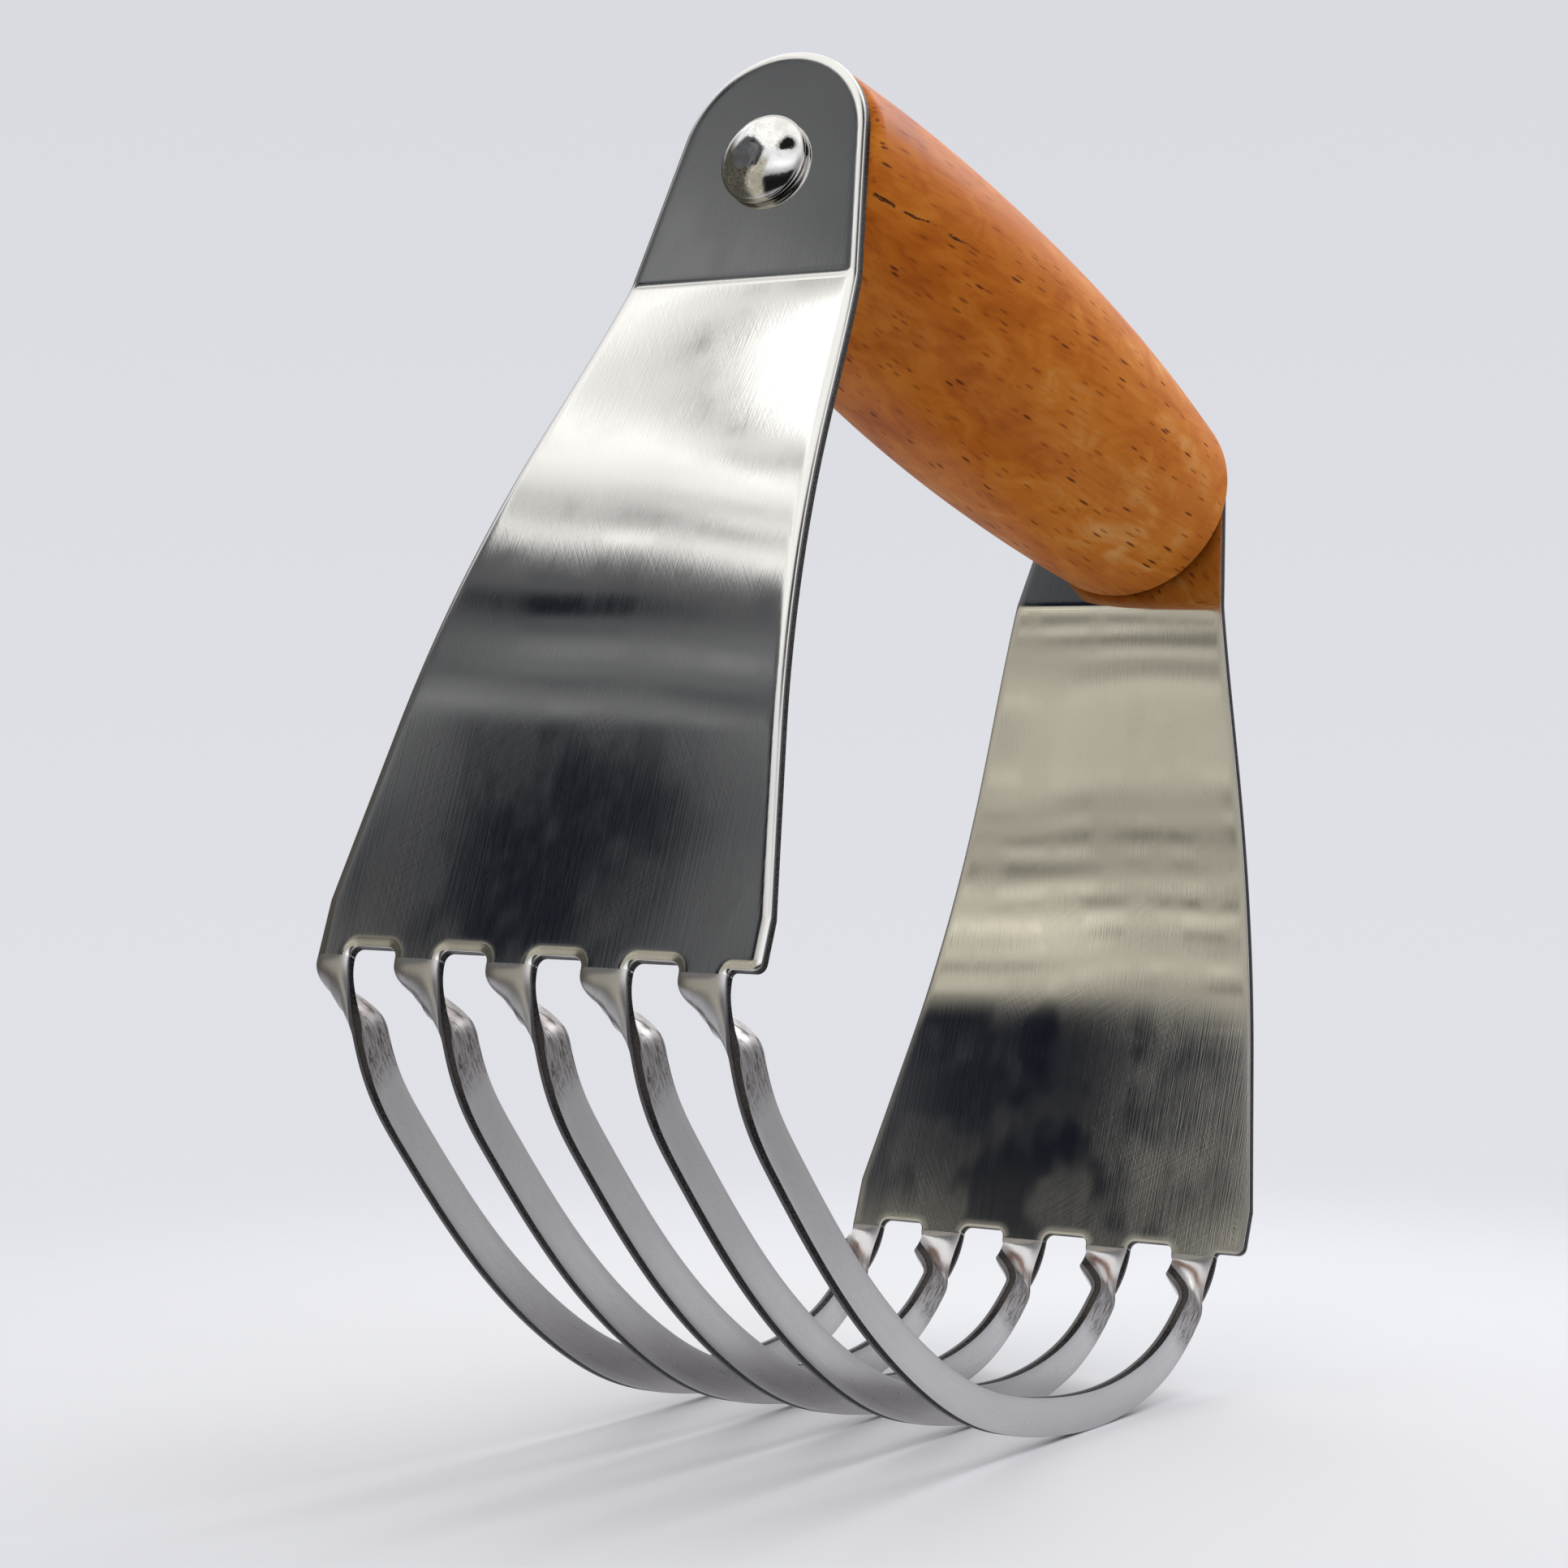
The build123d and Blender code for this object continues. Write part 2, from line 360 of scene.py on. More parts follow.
# %% Place a pattern on the arm, and build both arms
def bent(plan, depth, side):
    """x = side times (face at that height - depth + faint waves), y and z from the pattern."""
    y, z = plan[..., 0], plan[..., 1]
    waves = (0.035 * np.sin(y / 9.0 + z / 31.0) * np.sin(z / 13.0 + 0.7)
             + 0.012 * np.sin(y / 4.1 - z / 17.0 + 1.9))
    waves = waves * eased((BEND - z) / 14.0) * eased((z - FOOT) / 10.0)
    return np.stack([side * (face_at(z) - depth + waves), y, z], -1)


def build_arm(name, side):
    """Both faces, the lip round every edge, the wall of the hole and the cuts at the tongues."""
    patches, caps = [], []
    for depth in (0.0, SHEET):
        marks = {"deep": depth / SHEET}
        patches.append((bent(skirt, depth, side), marks, (False, False)))
        patches.append((bent(fan, depth, side), marks, (False, True)))
    wall = np.linspace(0, SHEET, 4)[:, None]
    patches.append((bent(np.broadcast_to(hole, (4, *hole.shape)), wall, side),
                    {"deep": wall / SHEET, "cut": 1.0}, (False, True)))
    lips = []
    for path, inner in [(outline, inner_line), *arches]:
        plan = path[:, None] + (inner - path)[:, None] * (EDGE_IN / BAND)[None, :, None]
        grid = bent(plan, EDGE_DEEP[None], side)
        lips.append(grid)
        patches.append((grid, {"deep": EDGE_DEEP / SHEET, "cut": CUT, "lip": LIP}, (False, False)))
    ends = [lips[0][0]] + [lips[n + 1][k] for n in range(BLADES - 1) for k in (-1, 0)] + [lips[0][-1]]
    for number in range(BLADES):
        left, right = ends[2 * number], ends[2 * number + 1]
        low, high = sorted((left[-1, 1], right[-1, 1]))
        inside = (base[:, 0] > low + NEAR) & (base[:, 0] < high - NEAR)
        between = base[inside & (base[:, 1] < FOOT + SAME)]
        outer, inner = bent(between, 0.0, side), bent(between, SHEET, side)
        first, last = (left, right) if left[-1, 1] < right[-1, 1] else (right, left)
        caps.append((np.concatenate([first, outer, last[::-1], inner[::-1]]), {"deep": 0.5}))
    return sew(name, patches, caps, marks=("deep", "cut", "lip"))


arms = {side: build_arm(name, side) for side, name in ((-1, "left_arm_sheet"), (1, "right_arm_sheet"))}

# %% [markdown]
# ## The blades
# Each blade leaves the arm as a flat tongue. Pliers turn it a quarter so that it stands on
# edge, and it runs round the bottom like that to the other arm. So a blade is the edge
# profile of the sheet, closed into a strip, and carried along a curve while it turns.

# %% Carry the strip along its curve
ROOT_RUN, TURN_RUN, LAG, BULGE = 14.0, 9.6, 1.4, 1.45
BULGE_RISE, BULGE_END, BULGE_FALL = 6.0, 6.2, 2.6
LIP_LESS, LIP_RUN = 0.55, 7.0
blade_outline = [(-ARM_FACE + SHEET / 2, FOOT), (-50.9, 21.1), (-41.6, 14.5), (-26.0, 6.9), (-8.0, 1.4),
                 (5.0, 0.0), (21.5, 2.2), (37.2, 7.5), (45.8, 12.8), (52.7, 20.7),
                 (ARM_FACE - SHEET / 2, FOOT)]


def build_blade(number, edge):
    """A middle surface carries the strip: curve + across * width direction, turned from flat to on
    edge, the far side a little later, with the tongue bulged outwards as 4 q (1 - q), most of all
    about 6 mm from the arm. Its normal is the cross product of its two slopes, and the two faces
    lie half a sheet either side of it. The lip gets smaller away from the arm."""
    ends = np.linspace(0, 1, 56) * ROOT_RUN
    length = np.linalg.norm(np.diff(blade_outline, axis=0), axis=1).sum()
    run = np.concatenate([ends, np.linspace(ROOT_RUN, length - ROOT_RUN, 150)[1:-1], length - ends[::-1]])
    place, ahead = spline(blade_outline, (0, -0.5), (0, 0.5), run / length)
    fromend = np.minimum(run, length - run)[:, None]
    root = min(TONGUE, HALF_WIDTH - edge)
    width = root + (BLADE_DEPTH - root) * eased(fromend / TURN_RUN)
    zero = np.zeros(len(run))
    centre = np.stack([place[:, 0], zero + edge, place[:, 1]], 1)[:, None]
    inward = np.stack([-ahead[:, 1], zero, ahead[:, 0]], 1)[:, None]
    side = np.array([0.0, 1.0, 0.0])
    rise = BULGE * root / TONGUE
    swell = rise * eased(fromend / BULGE_RISE) * (1 - eased((fromend - BULGE_END) / BULGE_FALL))

    def middle(q):
        """The middle surface at share q of the width."""
        turned = np.pi / 2 * eased((fromend - LAG * q) / (TURN_RUN - LAG * q))
        turn, still = np.sin(turned)[..., None], np.cos(turned)[..., None]
        outwards = side * turn - inward * still
        return (centre + (q * width)[..., None] * (side * still + inward * turn)
                + (swell * 4 * q * (1 - q))[..., None] * outwards), outwards

    size = 1 - LIP_LESS * eased(fromend[:, 0] / LIP_RUN)
    into, deep = cut_edge(size)
    deep = np.concatenate([deep, deep[:, ::-1]], 1)
    q = np.concatenate([into / width, 1 - into[:, ::-1] / width], 1)
    surface, outwards = middle(q)
    normal = np.cross(np.gradient(surface, axis=0), middle(q + 0.01)[0] - middle(q - 0.01)[0])
    normal /= np.linalg.norm(normal, axis=-1, keepdims=True)
    normal *= np.sign((normal * outwards).sum(-1, keepdims=True))
    grid = surface + (SHEET / 2 - deep)[..., None] * normal
    marks = {"deep": deep / SHEET, "cut": np.concatenate([CUT, CUT[::-1]]),
             "lip": np.concatenate([LIP, LIP[::-1]]), "run": run[:, None], "across": q * width,
             "fromend": fromend}
    caps = [(grid[k], {"deep": 0.5}) for k in (0, -1)]
    print(f"blade {number}: {length:.1f} mm long, lowest {grid[..., 2].min():.2f}")
    return sew(f"blade_{number}_strip", [(grid, marks, (False, True))], caps,
               marks=("deep", "cut", "lip", "run", "across", "fromend"))


blades = [build_blade(number + 1, edge) for number, edge in enumerate(edges)]

# %% [markdown]
# ## The handle and the rivets
# Both are turned about the tool's axle, so each is a profile of distance along the axle and
# radius, spun round it. The handle's profile is a shallow arc with rounded ends and a bore
# for each rivet. A rivet is hammered over by hand or by press, so its dome gets a few soft
# dents, and its rim stands off the tab.

# %% Spin a profile about the axle
def spun(profile, count, bump=None):
    """Each profile point (x, r) goes to (x, r sin a, axle + r cos a), for every angle a."""
    angle = np.linspace(0, 2 * np.pi, count, endpoint=False)[None]
    x, r = profile[:, :1], profile[:, 1:]
    x, r = x + 0 * angle, r + 0 * angle
    if bump is not None:
        x, r = bump(x, r, angle)
    return np.stack([x, r * np.sin(angle), AXLE + r * np.cos(angle)], -1)


sag = HANDLE_MIDDLE - HANDLE_END
barrel_radius = (HANDLE_HALF**2 + sag**2) / (2 * sag)
belly_x = np.linspace(-HANDLE_HALF + HANDLE_EDGE, HANDLE_HALF - HANDLE_EDGE, 140)
belly = np.stack([belly_x, np.sqrt(barrel_radius**2 - belly_x**2) - barrel_radius + HANDLE_MIDDLE], 1)
turn = np.radians(np.linspace(0, 90, 12))[1:-1]
shoulder = np.stack([HANDLE_HALF - HANDLE_EDGE * (1 - np.sin(turn[::-1])),
                     belly[-1, 1] - HANDLE_EDGE * (1 - np.cos(turn[::-1]))], 1)[::-1]
bore_end = HANDLE_HALF - (SHANK_LENGTH - SHEET + 0.05)
end_face = np.stack([np.full(9, HANDLE_HALF), np.linspace(belly[-1, 1] - HANDLE_EDGE, BORE, 9)], 1)
bore = np.array([(bore_end + (HANDLE_HALF - bore_end) * s, BORE) for s in (0.97, 0.5, 0.0)]
                + [(bore_end, 0.0)])
half = np.concatenate([shoulder, end_face, bore])
handle_profile = np.concatenate([(half * (-1, 1))[::-1], belly, half])


def hand_sanded(x, r, angle):
    """The turned barrel is out of round by a few hundredths of a millimetre."""
    soft = 0.05 * np.sin(3 * angle + x / 17) + 0.03 * np.sin(5 * angle - x / 9 + 1)
    return x, r + soft * eased((r - 8) / 5)


handle = sew("turned_handle", [(spun(handle_profile, 192, hand_sanded), {}, (False, True))])

# %% The rivets: dome, rim standing off the tab, and a shank in the wood
BROW_RISE, BROW_REACH, SEAT_REACH = 0.66, 0.78, 0.6
dome, _ = spline([(HEAD_HEIGHT, 0.0), (BROW_RISE * HEAD_HEIGHT, BROW_REACH * HEAD_RADIUS),
                  (HEAD_UNDERCUT, HEAD_RADIUS - HEAD_RIM)], (0, 1), (-0.87, -0.49), np.linspace(0, 1, 40))
under = np.array([(0.12, HEAD_RADIUS - 0.9), (0.0, SEAT_REACH * HEAD_RADIUS), (0.0, SHANK + 0.2),
                  (0.0, SHANK), (-1.0, SHANK), (-SHANK_LENGTH + SHANK_TIP, SHANK),
                  (-SHANK_LENGTH, SHANK_POINT), (-SHANK_LENGTH, 0.0)])
rivet_profile = np.concatenate([dome, under])


def hammered(x, r, angle):
    """A few flats and dents on the dome, none on the shank."""
    y, z = r * np.sin(angle), r * np.cos(angle)
    on_head = eased(x / 0.8)
    dents = (0.16 * np.exp(-((y - 1.6) ** 2 + (z + 1.2) ** 2) / 2.6)
             + 0.10 * np.exp(-((y + 2.4) ** 2 + (z - 1.9) ** 2) / 1.8)
             - 0.05 * np.exp(-((y + 0.8) ** 2 + (z - 0.9) ** 2) / 3.0))
    out_of_round = 0.10 * np.sin(2 * angle + 0.6) + 0.05 * np.sin(3 * angle + 2)
    return x - on_head * dents, r + on_head * out_of_round * r / HEAD_RADIUS * 0.5


rivets = {}
for side, name in ((-1, "left_rivet_dome"), (1, "right_rivet_dome")):
    grid = spun(rivet_profile, 128, hammered)
    grid[..., 0] = side * (TAB_FACE + grid[..., 0])
    rivets[side] = sew(name, [(grid, {}, (False, True))], crease=55)

# %% [markdown]
# ## Writing shaders as formulas
# A material that varies is a small sum of patterns. Written as nodes it would be hard to
# read, so one class wraps a socket: adding or multiplying such values makes the Math nodes.
# Colours are mixed by their own nodes, because a Math node would turn them grey.

# %% The class for values, and one method for every other node
class Value:
    """A socket that can be used in sums, as in 1 - mask * 0.5."""

    def __init__(self, board, socket):
        self.board, self.socket = board, socket

    def math(self, operation, *values):
        """One Math node of the given values, which may be numbers or sockets."""
        return self.board.node("ShaderNodeMath", {"operation": operation}, dict(enumerate(values)))

    def __add__(self, other):
        return self.math("ADD", self, other)

    __radd__ = __add__

    def __mul__(self, other):
        return self.math("MULTIPLY", self, other)

    __rmul__ = __mul__

    def __sub__(self, other):
        return self.math("SUBTRACT", self, other)

    def __rsub__(self, other):
        return self.math("SUBTRACT", other, self)

    def __truediv__(self, other):
        return self.math("DIVIDE", self, other)

    def __rtruediv__(self, other):
        return self.math("DIVIDE", other, self)

    def step(self, low, high):
        """0 below low, 1 above high, and a soft curve between; falls where low is above high."""
        return self.board.node("ShaderNodeMapRange", {"interpolation_type": "SMOOTHSTEP"},
                               {0: self, 1: low, 2: high, 3: 0.0, 4: 1.0})


class Board:
    """A material's or world's node tree."""

    def __init__(self, owner):
        owner.use_nodes = True
        self.tree = owner.node_tree
        self.tree.nodes.clear()

    def node(self, kind, settings=None, sockets=None, out=0):
        """Any node: its settings first, then a value or link for each socket; gives one output."""
        made = self.tree.nodes.new(kind)
        for key, value in (settings or {}).items():
            if key == "stops":
                while len(made.color_ramp.elements) < len(value):
                    made.color_ramp.elements.new(0.5)
                for stop, (at, tone) in zip(made.color_ramp.elements, value):
                    stop.position, stop.color = at, tone
            else:
                setattr(made, key, value)
        for key, value in (sockets or {}).items():
            if isinstance(value, Value):
                self.tree.links.new(value.socket, made.inputs[key])
            else:
                made.inputs[key].default_value = value
        return Value(self, made.outputs[out])

    def places(self, scale, turn=(0, 0, 0)):
        """Object coordinates in millimetres, turned and then times scale."""
        here = self.node("ShaderNodeTexCoord", out="Object")
        turned = self.node("ShaderNodeMapping", {}, {0: here, 2: turn})
        return self.node("ShaderNodeMapping", {}, {0: turned, 3: tuple(s / MM for s in scale)})

    def joined(self, x, y, z):
        """A vector from three values."""
        return self.node("ShaderNodeCombineXYZ", {}, {0: x, 1: y, 2: z})

    def noise(self, where, scale=1.0, detail=2.0, rough=0.5, distortion=0.0):
        """Soft random pattern between 0 and 1, near 0.5 on average."""
        return self.node("ShaderNodeTexNoise", {},
                         {"Vector": where, "Scale": scale, "Detail": detail, "Roughness": rough,
                          "Distortion": distortion})

    def mark(self, name):
        """A number that the mesh carries on its points."""
        return self.node("ShaderNodeAttribute", {"attribute_name": name}, out="Fac")

    def blend(self, share, first, second, kind="MIX"):
        """Colour between two colours."""
        return self.node("ShaderNodeMix", {"data_type": "RGBA", "blend_type": kind},
                         {0: share, 6: first, 7: second}, out=2)

    def bump(self, height, distance, strength=1.0, onto=None):
        """Tilts the surface by a height in millimetres times distance."""
        sockets = {"Height": height, "Distance": distance * MM, "Strength": strength}
        if onto is not None:
            sockets["Normal"] = onto
        return self.node("ShaderNodeBump", {}, sockets)

    def finish(self, sockets):
        """One Principled shader, straight into the output."""
        shader = self.node("ShaderNodeBsdfPrincipled", {}, sockets)
        self.node_out(shader, "ShaderNodeOutputMaterial")

    def node_out(self, shader, kind):
        """The output node, fed by a shader."""
        out = self.tree.nodes.new(kind)
        self.tree.links.new(shader.socket, out.inputs[0])


def colour(red, green, blue):
    """A colour picked on a 0 to 255 scale, as the linear light that Blender works in."""
    scaled = np.array([red, green, blue]) / 255
    return (*np.where(scaled <= 0.04045, scaled / 12.92, ((scaled + 0.055) / 1.055) ** 2.4).tolist(), 1.0)


# %% [markdown]
# ## Polished stainless steel
# The sheet was rolled bright and then rubbed along its length, so its mirror is a little
# blurred sideways by hair-fine lines, and wiping has left crossed rubs in patches. The lips
# are rubbed more, and look like satin. The cut itself has a grey burnished band and, nearer
# the inner face, a darker torn one with grit-like grain. Both take darker colours than the
# real steel: partly its own grey, partly painted shade for the dark that the cut walls mirror.
# On the faces the differences sit in roughness and bump, and only the cut and a band on each
# blade's inner face near its twist change colour.

# %% Steel for the arms
def steel_looks(board, lines, smooth, cloud, rub):
    """Colour, roughness and normal shared by the arms and the blades; lines runs along the rub,
    and rub is how deep its hair lines are."""
    hair = board.noise(lines, detail=3.0, rough=0.6)
    cut = board.mark("cut")
    deep = board.mark("deep")
    lip = board.mark("lip")
    grit_place = board.places((1.0, 1.0, 1.0))
    grit = board.noise(grit_place, scale=4.0, detail=3.0, rough=0.7)
    torn = cut * (deep + (grit - 0.5) * 0.35).step(0.36, 0.46)
    satin = lip.step(0.30, 1.0) * (1 - cut)
    face = board.blend(cloud, colour(212, 211, 208), colour(199, 198, 195))
    # Painted shade: the torn and burnished colours of the cut are darker than the steel's own grey, for
    # the dark that the cut walls mirror.
    torn_metal_and_painted_shade = board.blend(grit.step(0.42, 0.70), colour(30, 29, 31), colour(88, 86, 84))
    edge_band_and_painted_shade = board.blend(torn, colour(108, 106, 105), torn_metal_and_painted_shade)
    base = board.blend(cut, face, edge_band_and_painted_shade)
    rough = smooth + satin * 0.12 + cut * 0.18 + torn * 0.22 + hair * 0.03 + cloud * 0.03
    height = (hair - 0.5) * (1 - cut) * rub + torn * grit * 2.2 + (grit - 0.5) * cut * 0.5
    return base, rough, board.bump(height, 0.02)


def arm_steel():
    """Bright sheet: hair lines up the arm, and two sets of crossed rubs where it is patchy."""
    made = bpy.data.materials.new("rubbed_bright_steel")
    board = Board(made)
    lines = board.places((1.0, 5.0, 0.10))
    cloud = board.noise(board.places((0.04, 0.05, 0.03)), detail=2.0)
    base, rough, normal = steel_looks(board, lines, 0.035, cloud, 0.12)
    rubs = [board.noise(board.places((0.3, 3.2, 0.20), (lean, 0, 0)), detail=3.0, rough=0.7)
            for lean in (0.55, -0.95)]
    patchy = board.noise(board.places((0.10, 0.14, 0.10)), detail=2.0).step(0.42, 0.62)
    rubbed = (rubs[0] + rubs[1] - 1.0) * patchy
    scratch = rubs[0].step(0.70, 0.76) + rubs[1].step(0.72, 0.78)
    board.finish({"Base Color": base, "Metallic": 1.0,
                  "Roughness": rough + scratch * 0.10 + patchy * 0.03,
                  "Normal": board.bump(rubbed * 0.10, 0.02, onto=normal)})
    return made


def blade_steel():
    """Satin strip: lines along its run, and on the inner face near each twist a darker grey band with
    darker streaks.
    """
    made = bpy.data.materials.new("satin_blade_steel")
    board = Board(made)
    run, across, fromend = board.mark("run"), board.mark("across"), board.mark("fromend")
    deep = board.mark("deep")
    lines = board.joined(run * 0.25, across * 1.6, deep * 2.0)
    cloud = board.noise(board.joined(run * 0.10, across * 0.3, deep), detail=3.0)
    base, rough, normal = steel_looks(board, lines, 0.24, cloud, 0.04)
    base = board.blend(1.0, base, colour(238, 237, 242), kind="MULTIPLY")
    # The inner face is a darker grey from about 5 to 16 mm from each end, with darker streaks in that
    # band.
    twist_band = fromend.step(5.0, 7.5) * fromend.step(16.0, 11.0) * deep.step(0.4, 0.6)
    streaks = board.noise(board.joined(run * 0.55, across * 2.6, deep), detail=4.0, rough=0.75,
                          distortion=0.6)
    scuff = streaks.step(0.46, 0.60) * twist_band * (1 - board.mark("cut"))
    twist_band_tone = board.blend(twist_band * 0.45, base, colour(120, 114, 110))
    base = board.blend(scuff * 0.8, twist_band_tone, colour(84, 80, 78))
    board.finish({"Base Color": base, "Metallic": 1.0, "Roughness": rough + scuff * 0.16 + twist_band * 0.12,
                  "Normal": normal})
    return made


def rivet_steel():
    """Bright dome with shallow pits and a few places worn duller."""
    made = bpy.data.materials.new("bright_rivet_steel")
    board = Board(made)
    pits = board.noise(board.places((1.3, 1.3, 1.3)), detail=3.0, rough=0.6)
    wear = board.noise(board.places((0.5, 0.5, 0.5)), detail=2.0).step(0.4, 0.7)
    board.finish({"Base Color": board.blend(wear, colour(216, 215, 212), colour(200, 198, 195)),
                  "Metallic": 1.0, "Roughness": 0.05 + wear * 0.05 + pits * 0.03,
                  "Normal": board.bump(pits, 0.015)})
    return made


STEEL, BLADE_STEEL, RIVET_STEEL = arm_steel(), blade_steel(), rivet_steel()
stand_in(arms[-1], "left_arm", STEEL)
stand_in(arms[1], "right_arm", STEEL)
for number, blade in enumerate(blades):
    stand_in(blade, f"blade_{number + 1}", BLADE_STEEL)
stand_in(rivets[-1], "left_rivet", RIVET_STEEL)
stand_in(rivets[1], "right_rivet", RIVET_STEEL)
print("steel on", len(arms) + len(blades) + len(rivets), "pieces")

# %% [markdown]
# ## Lacquered beech
# Beech is even and pinkish-brown, with short dark flecks that all lie along the grain, where
# rays and pores reach the surface. The blank was sawn a few degrees off the grain, so the
# flecks lean, and one small drying crack has opened along them near an end. The stain is
# orange, and the thin lacquer has worn to a soft sheen. The flecks are stretched cells of a
# Voronoi pattern, of which only some are kept.

# %% Wood for the handle
GRAIN_LEAN = math.radians(7.4)
CRACK_ABOVE = 2.43  # height of the crack over the axle, measured across the leaning grain


def beech():
    """Stain by three noises along the grain, lightened towards +x as a painted sheen, then fibres, two
    sizes of fleck, and the crack.
    """
    made = bpy.data.materials.new("lacquered_beech")
    board = Board(made)
    lean = (0.0, GRAIN_LEAN, 0.0)

    def axis(number, turn=(0, 0, 0)):
        """One coordinate in millimetres: 0 along the handle, 1 across, 2 up."""
        place = board.places((1.0, 1.0, 1.0), turn)
        return board.node("ShaderNodeSeparateXYZ", {}, {0: place}, out=number)

    def flecks(scale, fewest, most, core):
        """Long cells of which only some are kept; the mask is 1 along the middle of a kept cell."""
        cells = {"Vector": board.places(scale, lean), "Scale": 1.0}
        away = board.node("ShaderNodeTexVoronoi", {}, cells, out="Distance")
        kind = board.node("ShaderNodeTexVoronoi", {}, cells, out="Color")
        share = board.node("ShaderNodeSeparateColor", {}, {0: kind})
        return away.step(core, core * 0.4) * share.step(fewest, most)

    broad = board.noise(board.places((0.030, 0.07, 0.07), lean), detail=3.0, distortion=0.6)
    fibre = board.noise(board.places((0.10, 1.6, 1.6), lean), detail=4.0, rough=0.65)
    figure = board.noise(board.places((0.10, 0.20, 0.20), lean), detail=3.0, distortion=1.2)
    fine = flecks((0.22, 1.5, 1.5), 0.30, 0.8, 0.34)
    coarse = flecks((0.15, 1.0, 1.0), 0.60, 0.75, 0.24)

    along = axis(0)
    wander = (fibre - 0.5) * 1.6 + (figure - 0.5) * 1.5
    off = axis(2, lean) - (AXLE * math.cos(GRAIN_LEAN) + CRACK_ABOVE) + wander
    gaps = board.noise(board.places((0.22, 0.05, 0.05)), detail=2.0).step(0.46, 0.50)
    crack = (off * off).step(0.036, 0.008) * axis(1).step(-8, -10) * along.step(-26, -30) * gaps

    # along * 0.0012 is a painted sheen that makes the wood lighter towards the +x end, away from the
    # camera.
    stain_and_painted_sheen = broad * 0.40 + figure * 0.36 + fibre * 0.24 + along * 0.0012
    wood = board.node("ShaderNodeValToRGB", {"stops": [
        (0.34, colour(166, 78, 4)), (0.45, colour(194, 104, 18)),
        (0.55, colour(212, 126, 38)), (0.66, colour(228, 164, 92))]}, {0: stain_and_painted_sheen})
    for mask, strength, tone in ((fibre.step(0.50, 0.75), 0.28, (160, 74, 10)), (fine, 0.60, (132, 56, 6)),
                                 (coarse, 0.85, (92, 36, 4)), (crack, 0.90, (52, 20, 4))):
        wood = board.blend(mask * strength, wood, colour(*tone))
    pores = fine * 0.5 + coarse + crack * 2.0
    board.finish({"Base Color": wood, "Roughness": 0.42 + pores * 0.12 + figure * 0.08,
                  "Coat Weight": 0.06 - coarse * 0.05, "Coat Roughness": 0.22,
                  "Specular IOR Level": 0.07, "Normal": board.bump(fibre * 0.4 - pores, 0.04)})
    return made


stand_in(handle, "handle", beech())
print("wood on", handle.name)

# %% [markdown]
# ## The camera
# It stands low beyond the left arm, swung about a third of a right angle to one side, and it
# is tilted sideways because the tool rests rocked over on its blades. The aim, the distance
# and the three angles are measured in the tool's own frame.

# %% Place the camera
AIM, DISTANCE = np.array([0.70, 13.83, 70.9]), 443.2
YAW, PITCH_DOWN, ROLL = (math.radians(a) for a in (34.23, -16.07, 11.74))
back = np.array([-math.cos(YAW) * math.cos(PITCH_DOWN), -math.sin(YAW) * math.cos(PITCH_DOWN),
                 math.sin(PITCH_DOWN)])
level = np.cross([0, 0, 1], back)
level /= np.linalg.norm(level)
upright = np.cross(back, level)
right = math.cos(ROLL) * level + math.sin(ROLL) * upright
above = -math.sin(ROLL) * level + math.cos(ROLL) * upright
camera_data = bpy.data.cameras.new("camera")
camera_data.lens, camera_data.sensor_width = 87.12, 36.0
camera_data.clip_start, camera_data.clip_end = 0.01, 10.0
camera = bpy.data.objects.new("camera", camera_data)
place = (AIM + back * DISTANCE) * MM
camera.matrix_world = Matrix([(*axis_row, where) for *axis_row, where in
                              zip(right, above, back, place)] + [(0, 0, 0, 1)])
bpy.context.scene.collection.objects.link(camera)
bpy.context.scene.camera = camera
print("camera at", (place / MM).round(1))

# %% [markdown]
# ## The table
# The tool rests rocked forwards on the round of its blades, and keeps its own upright frame
# here, so the table is what tilts. It is a disc under the blades that fades out into the
# pale backdrop, and it can't be seen from below, so it never hides the tool.

# %% A tilted, fading disc
TILT = math.radians(21.2)
UP = np.array([-math.sin(TILT), 0.0, math.cos(TILT)])
ALONG = np.array([math.cos(TILT), 0.0, math.sin(TILT)])
SIDE = np.array([0.0, 1.0, 0.0])
RINGS, SPOKES, TABLE_RADIUS, TABLE_GAP = 60, 96, 420.0, 0.05
FADE_FROM, FADE_TO, TOUCH_X, RING_POWER = 70, 230, 33.5, 1.2


def lowest(piece):
    """How far the piece reaches down, square to the table."""
    points = np.empty(3 * len(piece.data.vertices), np.float32)
    piece.data.vertices.foreach_get("co", points)
    return (points.reshape(-1, 3).astype(float) @ -UP).max()


contact = max(lowest(blade) for blade in blades)
touch = np.array([TOUCH_X, 0.0, 0.0])
touch[2] = (-contact / MM - touch @ UP) / UP[2]
radius = (np.linspace(0, 1, RINGS) ** RING_POWER * TABLE_RADIUS)[:, None, None]
angle = np.linspace(0, 2 * np.pi, SPOKES, endpoint=False)[None, :, None]
disc = touch + radius * (np.cos(angle) * ALONG + np.sin(angle) * SIDE) - UP * TABLE_GAP
print("table under", touch.round(2))
table_mesh = bpy.data.meshes.new("table")
table_mesh.from_pydata(disc.reshape(-1, 3) * MM, [], quads(RINGS, SPOKES, False, True)[:, ::-1].tolist())
table_mesh.attributes.new("out", "FLOAT", "POINT").data.foreach_set(
    "value", np.broadcast_to(radius[..., 0], (RINGS, SPOKES)).ravel().astype(np.float32))
table = bpy.data.objects.new("table", table_mesh)
bpy.context.scene.collection.objects.link(table)
table_paint = bpy.data.materials.new("pale_table")
board = Board(table_paint)
fade = board.mark("out").step(FADE_FROM, FADE_TO)
under = board.node("ShaderNodeNewGeometry", out="Backfacing")
